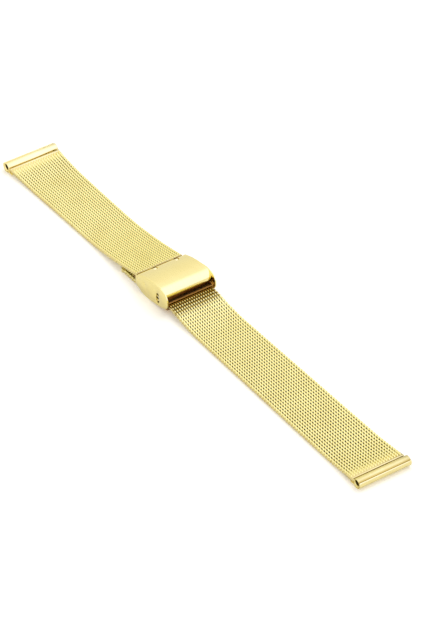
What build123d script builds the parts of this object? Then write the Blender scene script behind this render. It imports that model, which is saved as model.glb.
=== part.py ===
"""A Milanese mesh watch band with a sliding clasp, lying closed on a table.

X runs along the band, from the short strap to the long one, Y across it, and Z up.
The origin is at the middle of the band's length, on the table.
Every length is in millimetres. Places named "from the clasp" are measured along X
from the middle of the clasp.
"""
import os
from math import cos, hypot, radians, sin, sqrt

from build123d import *

os.makedirs("parts", exist_ok=True)

# Reaches of the band, from the middle of the clasp to the outside of each lug tube
short_reach = 79.2
long_reach = 104.3
clasp_x = (short_reach - long_reach) / 2

# Widths of the mesh: at the lugs, beside the clasp, and where it runs through the clasp
lug_width = 18.0
short_waist = 16.2
long_waist = 16.1
channel_width = 15.8
short_flare_power = 4.0
long_flare_power = 1.2

# The mesh: rows of flattened coils, seen from the side as ribs on a thin core
mesh_thickness = 1.4
rib_height = 0.1
row_pitch = 1.155
hinge_gap = 0.12
core_half = mesh_thickness / 2 - rib_height

# Side view of the short strap: where it leaves the table and where it bends again
short_lift_from_clasp = 31.6
short_bend_from_clasp = 18.6
short_bend_height = 2.13
short_end_from_clasp = 7.55
short_end_height = 4.15
short_flat_sections = 3

# Side view of the long strap: its loose tongue, its way through the clasp, its landing
tongue_tip_from_clasp = 17.0
tongue_root_from_clasp = 7.6
channel_exit_from_clasp = 8.7
channel_exit_height = 2.6
long_landing_from_clasp = 20.6
long_flat_sections = 6
end_section_length = 11.2
tip_cap_length = 1.5
tip_corner_radius = 1.9
seam_gap = 0.02

# Lug tubes, each in a bent cradle that is brazed under the mesh end
tube_bore_radius = 0.95
tube_wall = 0.45
cradle_sheet = 0.3
cradle_flange = 1.6
cradle_front_angle = 26
cradle_back_angle = 214
tube_radius = tube_bore_radius + tube_wall

# Clasp cover: one bent sheet with an arched lid and two side walls
cover_length = 16.7
cover_height = 7.7
cover_sheet = 0.3
cover_rear_from_clasp = 7.7
lid_rear_from_clasp = 6.6
lid_front_radius = 2.6
lid_front_angle = 88
hem_radius = 0.42
hem_width = 15.0
catch_window_height = 3.4
catch_window_width = 1.5
dimple_radius = 0.4
dimple_depth = 0.12
dimple_from_clasp = 3.1
dimple_height = 4.36

# Hinge pin that joins the cover, the hook plate and the short strap
hinge_pin_radius = 0.45
hinge_pin_from_clasp = 6.1
hinge_pin_height = 4.5
running_gap = 0.04
rivet_gap = 0.01
eye_sheet = 0.3

# Clip on the short strap, whose two eyes show in notches of the lid
clip_eye_radius = 0.95
clip_eye_width = 1.3
clip_eye_places = (-2.8, 4.8)
clip_flange = 2.4
clip_sheet = 0.3
notch_gap = 0.15

# Hook plate: eyes on the hinge pin, and a lip that drops in front of the catch bar
hook_sheet = 0.35
hook_width = channel_width - 0.6
hook_eyes = ((-6.4, 2.2), (1.0, 3.4), (6.75, 1.6))
hook_lip_drop = 1.0
hook_lip_gap = 0.1

# Slider that carries the long mesh: floor, two cheeks and a front bridge
side_gap = 0.08
mesh_side_gap = 0.07
cheek_sheet = 0.3
floor_sheet = 0.3
channel_gap = 0.08
cover_width = channel_width + 2 * (mesh_side_gap + cheek_sheet + side_gap + cover_sheet)
slider_rear_from_clasp = 2.4
slider_front_from_clasp = 8.2
cheek_top_height = 4.95
bridge_length = 2.6
bridge_sheet = 0.35

# Catch bar, across the slider, seen end on through the cover's windows
catch_bar_radius = 0.45
catch_bar_from_clasp = 3.85
catch_bar_height = 3.45
catch_dome_height = 0.06

# Lock lever, a flap with a cam that grips the mesh, on its own pin
lever_pin_radius = 0.35
lever_barrel_radius = 0.6
lever_pin_along = 6.0
lever_length = 4.3
lever_sheet = 0.4
lever_width = channel_width - 0.4
lever_lift = 0.1
lever_lip = 0.35

overrun = 1.0


def along(start, end):
    """Return the unit direction and the length from one (x, z) place to another."""
    run = end[0] - start[0]
    rise = end[1] - start[1]
    length = hypot(run, rise)
    return run / length, rise / length, length


def side_plane(start, end):
    """Plane of the band's side view, x from one (x, z) place to another and y upwards."""
    run, rise, _ = along(start, end)
    facing = -1 if run > 0 else 1
    return Plane(origin=(start[0], 0, start[1]), x_dir=(run, 0, rise), z_dir=(0, facing, 0))


def plan_plane(start, end):
    """Plane of the mesh itself, x along it and y across the band."""
    run, rise, _ = along(start, end)
    return Plane(origin=(start[0], 0, start[1]), x_dir=(run, 0, rise), z_dir=(-rise, 0, run))


def short_width(x):
    """Width of the short strap at a place along the band."""
    share = (clasp_x - x) / short_reach
    return short_waist + (lug_width - short_waist) * share ** short_flare_power


def long_width(x):
    """Width of the long strap at a place along the band, parallel inside the clasp."""
    exit_x = clasp_x + channel_exit_from_clasp
    if x <= exit_x:
        return channel_width
    share = (x - exit_x) / (long_reach - channel_exit_from_clasp)
    return long_waist + (lug_width - long_waist) * share ** long_flare_power


def row_arcs(first, last, height, crest):
    """Draw one rib arc for each row of coils between two places on the core."""
    rows = max(1, round(abs(last - first) / row_pitch))
    step = (last - first) / rows
    for row in range(rows):
        begin = first + row * step
        ThreePointArc((begin, height), (begin + step / 2, crest), (begin + step, height))


def mesh_section(label, start, end, width_start, width_end, flat_end=False):
    """One flexing group of coil rows, with both ends rounded or its far end cut flat."""
    _, _, length = along(start, end)
    first = hinge_gap / 2 + core_half
    last = length if flat_end else length - hinge_gap / 2 - core_half
    crest = mesh_thickness / 2
    with BuildPart() as section:
        with BuildSketch(side_plane(start, end)):
            with BuildLine():
                row_arcs(first, last, core_half, crest)
                if flat_end:
                    Line((last, core_half), (last, -core_half))
                else:
                    ThreePointArc((last, core_half), (last + core_half, 0), (last, -core_half))
                row_arcs(last, first, -core_half, -crest)
                ThreePointArc((first, -core_half), (first - core_half, 0), (first, core_half))
            make_face()
        extrude(amount=lug_width, both=True)
        with BuildSketch(plan_plane(start, end)):
            with BuildLine():
                Polyline(
                    (0, -width_start / 2),
                    (length, -width_end / 2),
                    (length, width_end / 2),
                    (0, width_start / 2),
                    close=True,
                )
            make_face()
        extrude(amount=mesh_thickness, both=True, mode=Mode.INTERSECT)
    save(section.part, label)


def save(part, label):
    """Name a finished piece and write it out."""
    part.label = label
    export_step(part, f"parts/{label}.step")


def lug_tube(label, start, end):
    """Tube for the spring bar, across the end of a strap."""
    _, _, length = along(start, end)
    with BuildPart() as tube:
        with BuildSketch(side_plane(start, end)):
            with Locations((length + seam_gap + tube_radius, 0)):
                Circle(tube_radius)
                Circle(tube_bore_radius, mode=Mode.SUBTRACT)
        extrude(amount=lug_width / 2, both=True)
    save(tube.part, label)


def lug_cradle(label, start, end):
    """Sheet that is brazed under the mesh end and goes round the front of the tube."""
    _, _, length = along(start, end)
    centre = length + seam_gap + tube_radius
    inner = tube_radius + seam_gap
    outer = inner + cradle_sheet
    reach = outer + overrun
    flange_top = -mesh_thickness / 2 - seam_gap
    flange_end = centre - sqrt(outer ** 2 - (flange_top - cradle_sheet) ** 2)
    back = radians(cradle_back_angle)
    front = radians(cradle_front_angle)
    with BuildPart() as cradle:
        with BuildSketch(side_plane(start, end)):
            with Locations((centre, 0)):
                Circle(outer)
                Circle(inner, mode=Mode.SUBTRACT)
            with BuildLine():
                Polyline(
                    (centre, 0),
                    (centre + reach * cos(back), reach * sin(back)),
                    (centre - reach, reach),
                    (centre + reach * cos(front), reach),
                    (centre + reach * cos(front), reach * sin(front)),
                    close=True,
                )
            make_face(mode=Mode.SUBTRACT)
            with BuildLine():
                Polyline(
                    (length - cradle_flange, flange_top),
                    (centre - sqrt(inner ** 2 - flange_top ** 2), flange_top),
                    (flange_end, flange_top - cradle_sheet),
                    (length - cradle_flange, flange_top - cradle_sheet),
                    close=True,
                )
            make_face()
        extrude(amount=lug_width / 2, both=True)
    save(cradle.part, label)


# Knots of both straps in the side view: (x, z) of the mesh's middle plane
flat = mesh_thickness / 2
tube_seat = tube_radius + seam_gap + cradle_sheet
fitting_length = seam_gap + 2 * tube_radius + seam_gap + cradle_sheet
lug_share = end_section_length / (end_section_length + seam_gap + tube_radius)
lug_end_height = flat + (tube_seat - flat) * lug_share
short_end = (clasp_x - short_end_from_clasp, short_end_height)
short_bend = (clasp_x - short_bend_from_clasp, short_bend_height)
short_lift = (clasp_x - short_lift_from_clasp, flat)
short_lug = (clasp_x - short_reach + fitting_length, lug_end_height)
short_last = (short_lug[0] + end_section_length, flat)
tongue_tip = (clasp_x - tongue_tip_from_clasp, flat)
tongue_root = (clasp_x - tongue_root_from_clasp, flat)
channel_exit = (clasp_x + channel_exit_from_clasp, channel_exit_height)
long_landing = (clasp_x + long_landing_from_clasp, flat)
long_lug = (clasp_x + long_reach - fitting_length, lug_end_height)
long_last = (long_lug[0] - end_section_length, flat)

short_step = (short_lift[0] - short_last[0]) / short_flat_sections
short_knots = [short_end, short_bend]
for section_index in range(short_flat_sections + 1):
    short_knots.append((short_lift[0] - section_index * short_step, flat))
short_knots.append(short_lug)

long_step = (long_last[0] - long_landing[0]) / long_flat_sections
long_knots = [channel_exit]
for section_index in range(long_flat_sections + 1):
    long_knots.append((long_landing[0] + section_index * long_step, flat))
long_knots.append(long_lug)

# Mesh of the short strap, counted from the clasp outwards
for section_index in range(len(short_knots) - 1):
    inner_knot = short_knots[section_index]
    outer_knot = short_knots[section_index + 1]
    mesh_section(
        f"short_strap_mesh_{section_index + 1}",
        inner_knot,
        outer_knot,
        short_width(inner_knot[0]),
        short_width(outer_knot[0]),
        flat_end=outer_knot is short_lug,
    )

# Mesh of the long strap: the tongue, the length inside the clasp, then outwards
tongue_seam = (tongue_tip[0] + tip_cap_length, flat)
mesh_section("tongue_mesh", tongue_root, tongue_seam, channel_width, channel_width, flat_end=True)
mesh_section("channel_mesh", tongue_root, channel_exit, channel_width, channel_width)
for section_index in range(len(long_knots) - 1):
    inner_knot = long_knots[section_index]
    outer_knot = long_knots[section_index + 1]
    inner_width = long_waist if section_index == 0 else long_width(inner_knot[0])
    mesh_section(
        f"long_strap_mesh_{section_index + 1}",
        inner_knot,
        outer_knot,
        inner_width,
        long_width(outer_knot[0]),
        flat_end=outer_knot is long_lug,
    )

# Cap that closes the loose end of the long strap, rounded at its two corners
with BuildPart() as tongue_tip_cap:
    with BuildSketch(Plane((tongue_tip[0], 0, flat))):
        with Locations(((tip_cap_length - seam_gap + tip_corner_radius) / 2, 0)):
            RectangleRounded(
                tip_cap_length - seam_gap + tip_corner_radius, channel_width, tip_corner_radius / 2
            )
        with Locations((tip_cap_length - seam_gap, 0)):
            Rectangle(
                tip_cap_length + tip_corner_radius,
                channel_width + overrun,
                align=(Align.MIN, Align.CENTER),
                mode=Mode.SUBTRACT,
            )
    extrude(amount=core_half, both=True)
save(tongue_tip_cap.part, "tongue_tip_cap")

# Lug tubes and their cradles at both ends
lug_tube("short_lug_tube", short_last, short_lug)
lug_cradle("short_lug_cradle", short_last, short_lug)
lug_tube("long_lug_tube", long_last, long_lug)
lug_cradle("long_lug_cradle", long_last, long_lug)

# Places in the clasp's side view, measured from the middle of the clasp
clasp_side = Plane(origin=(clasp_x, 0, 0), x_dir=(1, 0, 0), z_dir=(0, -1, 0))
hinge_place = (-hinge_pin_from_clasp, hinge_pin_height)
catch_place = (catch_bar_from_clasp, catch_bar_height)
cover_half = cover_width / 2
wall_inside = cover_half - cover_sheet
cheek_outside = wall_inside - side_gap
cheek_inside = cheek_outside - cheek_sheet
channel_run, channel_rise, channel_length = along(tongue_root, channel_exit)


def channel_place(from_clasp, above):
    """Place in the clasp's side view at a distance above the middle of the mesh there."""
    along_channel = (from_clasp + tongue_root_from_clasp) / channel_run
    x = -tongue_root_from_clasp + along_channel * channel_run - above * channel_rise
    z = flat + along_channel * channel_rise + above * channel_run
    return x, z


def cover_place(shares):
    """Place in the clasp's side view from shares of the cover's length and height."""
    return shares[0] * cover_length - cover_rear_from_clasp, shares[1] * cover_height


# Outline of the cover's side wall as shares of its length and height
wall_rear_shares = ((0.012, 0.61), (0.0, 0.376), (0.018, 0.182))
wall_bottom_shares = ((0.114, 0.13), (0.186, 0.046), (0.377, 0.0), (0.79, 0.13), (0.955, 0.281))
ear_shoulder_shares = (0.922, 0.922)
ear_front_shares = (1.0, 0.584)
crest_front_share = 0.737
lid_rear_share = 0.716
lid_rear_place = (-lid_rear_from_clasp, lid_rear_share * cover_height)
crest_place = cover_place((crest_front_share, 1.0))
lid_run = crest_place[0] - lid_rear_place[0]
lid_rise = crest_place[1] - lid_rear_place[1]
arch_radius = (lid_run ** 2 + lid_rise ** 2) / (2 * lid_rise)


def lid_line(depth):
    """Line of the lid at a depth under its top, from its rear edge to its front edge."""
    share = depth / arch_radius
    rear = (
        lid_rear_place[0] + share * lid_run,
        lid_rear_place[1] - share * (arch_radius - lid_rise),
    )
    crest = (crest_place[0], crest_place[1] - depth)
    arch = TangentArc(crest, rear, tangent=(-1, 0))
    front = JernArc(crest, (1, 0), lid_front_radius - depth, -lid_front_angle)
    return arch @ 1, front @ 1


with BuildPart() as clasp_cover:
    with BuildSketch(clasp_side) as wall_outline:
        with BuildLine():
            TangentArc(crest_place, lid_rear_place, tangent=(-1, 0))
            TangentArc(crest_place, cover_place(ear_shoulder_shares), tangent=(1, 0))
            ThreePointArc(
                cover_place(ear_shoulder_shares),
                cover_place(ear_front_shares),
                cover_place(wall_bottom_shares[4]),
            )
            Polyline(
                cover_place(wall_bottom_shares[4]),
                cover_place(wall_bottom_shares[3]),
                cover_place(wall_bottom_shares[2]),
                cover_place(wall_bottom_shares[1]),
                cover_place(wall_bottom_shares[0]),
                cover_place(wall_rear_shares[2]),
                cover_place(wall_rear_shares[1]),
                cover_place(wall_rear_shares[0]),
                lid_rear_place,
            )
        make_face()
        with Locations(hinge_place):
            Circle(hinge_pin_radius + rivet_gap, mode=Mode.SUBTRACT)
        with Locations(catch_place):
            SlotOverall(catch_window_height, catch_window_width, 90, mode=Mode.SUBTRACT)
    extrude(amount=cover_half, both=True)
    with BuildSketch(clasp_side):
        with Locations((0, cover_height / 2)):
            Rectangle(2 * cover_length, 2 * cover_height)
    extrude(amount=wall_inside, both=True, mode=Mode.SUBTRACT)
    for side in (-1, 1):
        with BuildSketch(Plane(origin=(clasp_x, side * cover_half, 0), x_dir=(1, 0, 0), z_dir=(0, -1, 0))):
            with Locations((-dimple_from_clasp, dimple_height)):
                Circle(dimple_radius)
        extrude(amount=side * dimple_depth, mode=Mode.SUBTRACT)
    with BuildSketch(clasp_side):
        with BuildLine():
            rear_top, front_top = lid_line(0)
            rear_under, front_under = lid_line(cover_sheet)
            Line(rear_top, rear_under)
            Line(front_top, front_under)
        make_face()
    extrude(amount=wall_inside, both=True)
    with BuildSketch(clasp_side):
        with Locations(front_top + (-hem_radius, 0)):
            Circle(hem_radius)
    extrude(amount=hem_width / 2, both=True)
    for eye_place in clip_eye_places:
        with BuildSketch(Plane.XY.offset(hinge_pin_height)):
            with Locations((clasp_x - lid_rear_from_clasp, eye_place)):
                Rectangle(
                    2 * (lid_rear_from_clasp - hinge_pin_from_clasp + clip_eye_radius + notch_gap),
                    clip_eye_width + 2 * notch_gap,
                )
        extrude(amount=cover_height - hinge_pin_height, mode=Mode.SUBTRACT)
save(clasp_cover.part, "clasp_cover")

with BuildPart() as cover_hinge_pin:
    with BuildSketch(clasp_side):
        with Locations(hinge_place):
            Circle(hinge_pin_radius)
    extrude(amount=cover_half, both=True)
save(cover_hinge_pin.part, "cover_hinge_pin")

# Clip of the short strap: a flange brazed under the mesh and two eyes on the hinge pin
clip_plane = side_plane(short_bend, short_end)
clip_run, clip_rise, clip_length = along(short_bend, short_end)
pin_across = clasp_x - hinge_pin_from_clasp - short_bend[0]
pin_above = hinge_pin_height - short_bend[1]
clip_pin = (
    pin_across * clip_run + pin_above * clip_rise,
    pin_above * clip_run - pin_across * clip_rise,
)
clip_top = -mesh_thickness / 2 - seam_gap
with BuildPart() as short_strap_clip:
    with BuildSketch(clip_plane):
        with BuildLine():
            Polyline(
                (clip_length - clip_flange, clip_top),
                (clip_length, clip_top),
                (clip_length, clip_top - clip_sheet),
                (clip_length - clip_flange, clip_top - clip_sheet),
                close=True,
            )
        make_face()
    extrude(amount=short_waist / 2 - side_gap, both=True)
    for eye_place in clip_eye_places:
        with BuildSketch(clip_plane.offset(-eye_place)):
            with Locations(clip_pin):
                Circle(clip_eye_radius)
            with BuildLine():
                Polyline(
                    (clip_length - clip_sheet, clip_top),
                    (clip_length, clip_top),
                    (clip_pin[0], clip_pin[1] - hinge_pin_radius),
                    (clip_pin[0], clip_pin[1] - clip_eye_radius),
                    (clip_length - clip_sheet, clip_top - clip_sheet),
                    close=True,
                )
            make_face()
            with Locations(clip_pin):
                Circle(hinge_pin_radius + running_gap, mode=Mode.SUBTRACT)
        extrude(amount=clip_eye_width / 2, both=True)
save(short_strap_clip.part, "short_strap_clip")

# Hook plate from the hinge pin to the catch bar, drawn in the clasp's side view
hook_eye_radius = hinge_pin_radius + running_gap + eye_sheet
hook_under_bar = catch_bar_height + catch_bar_radius + hook_lip_gap
lip_back = catch_bar_from_clasp + catch_bar_radius + hook_lip_gap
lip_front = lip_back + hook_sheet
hook_start = -hinge_pin_from_clasp + clip_eye_radius + notch_gap
with BuildPart() as hook_plate:
    with BuildSketch(clasp_side):
        with BuildLine():
            Polyline(
                (hook_start, hinge_pin_height),
                (lip_back, hook_under_bar),
                (lip_back, hook_under_bar - hook_lip_drop),
                (lip_front, hook_under_bar - hook_lip_drop),
                (lip_front, hook_under_bar + hook_sheet / 2),
                (lip_back, hook_under_bar + hook_sheet),
                (hook_start, hinge_pin_height + hook_sheet),
                close=True,
            )
        make_face()
    extrude(amount=hook_width / 2, both=True)
    for eye_place, eye_width in hook_eyes:
        with BuildSketch(clasp_side.offset(-eye_place)):
            with Locations(hinge_place):
                Circle(hook_eye_radius)
            with BuildLine():
                Polyline(
                    hinge_place,
                    (hook_start, hinge_pin_height),
                    (hook_start, hinge_pin_height + hook_sheet),
                    (-hinge_pin_from_clasp, hinge_pin_height + hook_eye_radius),
                    close=True,
                )
            make_face()
            with Locations(hinge_place):
                Circle(hinge_pin_radius + running_gap, mode=Mode.SUBTRACT)
        extrude(amount=eye_width / 2, both=True)
save(hook_plate.part, "hook_plate")

# Slider: a floor under the mesh, a cheek on each side and a bridge over its front
floor_top = -mesh_thickness / 2 - channel_gap
floor_bottom = floor_top - floor_sheet
bridge_bottom = mesh_thickness / 2 + channel_gap
cheek_back = channel_place(-slider_rear_from_clasp, floor_bottom)
cheek_front = channel_place(slider_front_from_clasp, floor_bottom)
bridge_rear_from_clasp = slider_front_from_clasp - bridge_length
lever_pin_place = channel_place(
    lever_pin_along - tongue_root_from_clasp, mesh_thickness / 2 + lever_lift + lever_barrel_radius
)
with BuildPart() as slider_frame:
    with BuildSketch(clasp_side):
        with BuildLine():
            Polyline(
                cheek_back,
                cheek_front,
                channel_place(slider_front_from_clasp, bridge_bottom + bridge_sheet),
                (catch_bar_from_clasp + 2 * catch_bar_radius, cheek_top_height),
                (catch_bar_from_clasp - 2 * catch_bar_radius, cheek_top_height),
                (lever_pin_place[0], lever_pin_place[1] + 2 * lever_pin_radius),
                channel_place(-slider_rear_from_clasp, bridge_bottom + lever_barrel_radius),
                close=True,
            )
        make_face()
        with Locations(catch_place):
            Circle(catch_bar_radius + rivet_gap, mode=Mode.SUBTRACT)
        with Locations(lever_pin_place):
            Circle(lever_pin_radius + rivet_gap, mode=Mode.SUBTRACT)
    extrude(amount=cheek_outside, both=True)
    with BuildSketch(clasp_side):
        with BuildLine():
            Polyline(
                channel_place(-slider_rear_from_clasp - overrun, floor_top),
                channel_place(slider_front_from_clasp + overrun, floor_top),
                channel_place(slider_front_from_clasp + overrun, bridge_bottom),
                channel_place(bridge_rear_from_clasp, bridge_bottom),
                channel_place(bridge_rear_from_clasp, cover_height),
                channel_place(-slider_rear_from_clasp - overrun, cover_height),
                close=True,
            )
        make_face()
        with BuildLine():
            Polyline(
                channel_place(bridge_rear_from_clasp, bridge_bottom + bridge_sheet),
                channel_place(slider_front_from_clasp + overrun, bridge_bottom + bridge_sheet),
                channel_place(slider_front_from_clasp + overrun, cover_height),
                channel_place(bridge_rear_from_clasp, cover_height),
                close=True,
            )
        make_face()
    extrude(amount=cheek_inside, both=True, mode=Mode.SUBTRACT)
save(slider_frame.part, "slider_frame")

with BuildPart() as catch_bar:
    with BuildSketch(clasp_side):
        with Locations(catch_place):
            Circle(catch_bar_radius)
    extrude(amount=cheek_outside + catch_dome_height, both=True)
    chamfer(catch_bar.edges().filter_by(GeomType.CIRCLE), catch_dome_height)
save(catch_bar.part, "catch_bar")

with BuildPart() as lock_lever_pin:
    with BuildSketch(clasp_side):
        with Locations(lever_pin_place):
            Circle(lever_pin_radius)
    extrude(amount=cheek_outside, both=True)
save(lock_lever_pin.part, "lock_lever_pin")

# Lock lever: a barrel on its pin, a flap over the mesh and a raised nail lip
lever_plane = Plane(
    origin=(clasp_x + lever_pin_place[0], 0, lever_pin_place[1]),
    x_dir=(channel_run, 0, channel_rise),
    z_dir=(0, -1, 0),
)
with BuildPart() as lock_lever:
    with BuildSketch(lever_plane):
        Circle(lever_barrel_radius)
        with BuildLine():
            Polyline(
                (0, -lever_barrel_radius),
                (lever_length, -lever_barrel_radius),
                (lever_length, -lever_barrel_radius + lever_sheet + lever_lip),
                (lever_length - lever_sheet, -lever_barrel_radius + lever_sheet + lever_lip),
                (lever_length - 2 * lever_sheet, -lever_barrel_radius + lever_sheet),
                (0, -lever_barrel_radius + lever_sheet),
                close=True,
            )
        make_face()
        Circle(lever_pin_radius + running_gap, mode=Mode.SUBTRACT)
    extrude(amount=lever_width / 2, both=True)
save(lock_lever.part, "lock_lever")
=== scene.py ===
"""Blender scene of a pale gold Milanese mesh watch band with a sliding clasp.

The band lies closed on a white table. X runs along the band from the short strap to the long
one, Y across it and Z up. Sizes in the classes are millimetres, and every mesh is written out
in metres. Places named "from the clasp" are measured along X from the middle of the clasp.
"""

import logging
import math
from collections.abc import Callable
from dataclasses import dataclass
from enum import Enum

import bmesh
import bpy
import numpy as np
from mathutils import Matrix, Vector
from mathutils.geometry import delaunay_2d_cdt

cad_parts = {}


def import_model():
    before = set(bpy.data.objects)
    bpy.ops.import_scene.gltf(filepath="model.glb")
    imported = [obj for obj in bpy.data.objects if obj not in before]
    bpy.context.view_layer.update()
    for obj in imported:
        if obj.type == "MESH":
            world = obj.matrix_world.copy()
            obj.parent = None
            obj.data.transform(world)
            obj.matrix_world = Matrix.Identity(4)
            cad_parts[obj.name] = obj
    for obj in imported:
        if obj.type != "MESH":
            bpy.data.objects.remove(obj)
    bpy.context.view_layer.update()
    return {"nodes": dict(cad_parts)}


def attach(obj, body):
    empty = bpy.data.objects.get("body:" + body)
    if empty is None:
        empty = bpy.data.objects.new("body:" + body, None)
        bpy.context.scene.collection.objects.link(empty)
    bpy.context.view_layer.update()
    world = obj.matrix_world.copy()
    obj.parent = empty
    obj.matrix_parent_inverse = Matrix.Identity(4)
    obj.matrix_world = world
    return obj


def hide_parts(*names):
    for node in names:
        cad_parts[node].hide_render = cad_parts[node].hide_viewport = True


LOG = logging.getLogger("mesh_band")
MM = 0.001
CLASP_X = -12.55
LUG_X = 90.025
SEAM_X = 88.61
SEAM_Z = 1.605
LAST_BEND_X = 77.41
FLAT_Z = 0.7
EYE_PLACES = (-2.8, 4.8)
EYE_HALF = 1.0
IMAGE_HEIGHT = 631
TINY = 1e-6
WHITE = "#FFFFFF"

Point2 = tuple[float, float]


class Side(Enum):
    """The two sides of the band, as the sign of Y."""

    NEAR = -1
    FAR = 1


# ---------------------------------------------------------------------------
# Small shared helpers
# ---------------------------------------------------------------------------
def hex_linear(code: str) -> tuple[float, float, float, float]:
    """Turn an sRGB hex colour into linear values.

    Args:
        code: six hex digits, with or without a leading #.

    Returns:
        Linear red, green and blue, and an alpha of 1.
    """
    text = code.lstrip("#")
    values = []
    for start in (0, 2, 4):
        share = int(text[start:start + 2], 16) / 255
        values.append(share / 12.92 if share <= 0.04045 else ((share + 0.055) / 1.055) ** 2.4)
    return values[0], values[1], values[2], 1.0


def add_node(tree: bpy.types.NodeTree, kind: str, settings: dict | None = None,
             links: dict | None = None) -> bpy.types.Node:
    """Add one node to a tree, with its settings and its incoming links.

    Args:
        tree: the node tree.
        kind: Blender's type name of the node.
        settings: attributes, or input sockets by name or number, and their values.
        links: input sockets by name or number, and the output sockets that feed them.

    Returns:
        The new node.
    """
    node = tree.nodes.new(kind)
    for name, value in (settings or {}).items():
        if isinstance(name, int) or name in node.inputs:
            node.inputs[name].default_value = value
        else:
            setattr(node, name, value)
    for name, source in (links or {}).items():
        tree.links.new(source, node.inputs[name])
    return node


def add_object(name: str, data: bpy.types.ID) -> bpy.types.Object:
    """Return a new object in the scene that shows a mesh, a lamp or a camera."""
    obj = bpy.data.objects.new(name, data)
    bpy.context.scene.collection.objects.link(obj)
    return obj


def mesh_object(name: str, verts: np.ndarray, faces: list, smooth_angle: float = 40.0,
                slots: list[int] | None = None,
                painted_shade: np.ndarray | None = None) -> bpy.types.Object:
    """Make an object from vertices in millimetres, with hard edges where faces meet sharply.

    Args:
        name: name of the object.
        verts: vertices, in millimetres, in the row frame.
        faces: vertex numbers of each face.
        smooth_angle: edges sharper than this many degrees stay hard.
        slots: material slot of each face, or None where all use the first.
        painted_shade: how much painted shade each vertex gets, from 0 to 1, or None.

    Returns:
        The new object, at the origin.
    """
    mesh = bpy.data.meshes.new(name)
    mesh.from_pydata((np.asarray(verts, float) * MM).tolist(), [], faces)
    if slots is not None:
        mesh.polygons.foreach_set("material_index", slots)
    if painted_shade is not None:
        mesh.attributes.new("painted_shade", "FLOAT", "POINT").data.foreach_set("value", painted_shade)
    soften(mesh, smooth_angle)
    return add_object(name, mesh)


def soften(mesh: bpy.types.Mesh, smooth_angle: float) -> None:
    """Shade a mesh smooth, apart from edges sharper than an angle in degrees."""
    work = bmesh.new()
    work.from_mesh(mesh)
    bmesh.ops.recalc_face_normals(work, faces=work.faces)
    limit = math.radians(smooth_angle)
    for edge in work.edges:
        edge.smooth = edge.calc_face_angle(0.0) < limit
    for face in work.faces:
        face.smooth = True
    work.to_mesh(mesh)
    work.free()


def arc(centre: Point2, radius: float, start: float, end: float, steps: int) -> list[Point2]:
    """Return points on a circle from one angle to another, both in degrees."""
    angles = np.radians(np.linspace(start, end, steps))
    return [(centre[0] + radius * math.cos(a), centre[1] + radius * math.sin(a)) for a in angles]


def arc_through(start: Point2, middle: Point2, end: Point2, steps: int) -> list[Point2]:
    """Return points on the circle through three places, from the first to the last."""
    (ax, ay), (bx, by), (cx, cy) = start, middle, end
    d = 2 * (ax * (by - cy) + bx * (cy - ay) + cx * (ay - by))
    squares = ax ** 2 + ay ** 2, bx ** 2 + by ** 2, cx ** 2 + cy ** 2
    centre = ((squares[0] * (by - cy) + squares[1] * (cy - ay) + squares[2] * (ay - by)) / d,
              (squares[0] * (cx - bx) + squares[1] * (ax - cx) + squares[2] * (bx - ax)) / d)
    turns = [math.degrees(math.atan2(y - centre[1], x - centre[0]))
             for x, y in (start, middle, end)]
    turns = np.degrees(np.unwrap(np.radians(turns)))
    return arc(centre, math.dist(centre, start), turns[0], turns[2], steps)


def round_corners(points: list[Point2], rounds: int = 2) -> list[Point2]:
    """Cut the inner corners of an open line, a fifth of each run at a time."""
    for _ in range(rounds):
        cut = [points[0]]
        for a, b in zip(points, points[1:]):
            for near, far in ((0.8, 0.2), (0.2, 0.8)):
                cut.append((near * a[0] + far * b[0], near * a[1] + far * b[1]))
        cut.append(points[-1])
        points = cut
    return points


def shrink(points: np.ndarray, amount: float) -> np.ndarray:
    """Offset a closed outline inwards by an amount in millimetres."""
    least = 1e-9
    sharpest = 0.4
    before = np.roll(points, 1, axis=0)
    after = np.roll(points, -1, axis=0)
    area = np.sum(points[:, 0] * after[:, 1] - after[:, 0] * points[:, 1])
    sign = 1.0 if area > 0 else -1.0
    into = points - before
    out = after - points
    into /= np.maximum(np.linalg.norm(into, axis=1, keepdims=True), least)
    out /= np.maximum(np.linalg.norm(out, axis=1, keepdims=True), least)
    normal = np.stack([-(into[:, 1] + out[:, 1]), into[:, 0] + out[:, 0]], axis=1)
    length = np.maximum(np.linalg.norm(normal, axis=1, keepdims=True), least)
    normal = sign * normal / length
    across = np.stack([-out[:, 1], out[:, 0]], axis=1)
    cosine = np.clip(np.sum(normal * sign * across, axis=1), sharpest, 1)
    return points + normal * (amount / cosine)[:, None]


def ring_faces(rings: int, size: int, closed: bool = False) -> list[tuple[int, ...]]:
    """Join rings of points, one after another, by faces of four corners.

    Args:
        rings: how many rings there are.
        size: how many points each ring has.
        closed: whether the last ring joins the first one.

    Returns:
        Vertex numbers of each face.
    """
    faces = []
    for ring in range(rings if closed else rings - 1):
        a, b = ring * size, (ring + 1) % rings * size
        for i in range(size):
            j = (i + 1) % size
            faces.append((a + i, a + j, b + j, b + i))
    return faces


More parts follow.
